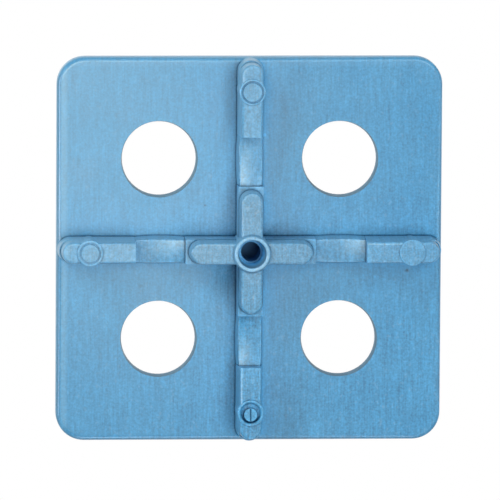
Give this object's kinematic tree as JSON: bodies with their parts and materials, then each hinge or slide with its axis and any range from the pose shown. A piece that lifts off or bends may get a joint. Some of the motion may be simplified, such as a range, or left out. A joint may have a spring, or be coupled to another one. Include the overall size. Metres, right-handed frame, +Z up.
{
  "type": "packing shim",
  "caption": "Square plastic packing shim with round through holes, a stepped cross rib on its upper face and a socketed boss at the centre.",
  "frame": {"origin": "centre of the underside, on the axis of the boss", "axes": "+Z up out of the ribbed face, +X and +Y along the arms of the cross rib"},
  "size_m": [0.08, 0.08, 0.0125],
  "materials": {
    "blue_plastic": "satin moulded polypropylene with fine vertical tool marks"
  },
  "bodies": {
    "root": {"shim_plate": "blue_plastic"}
  },
  "joints": []
}
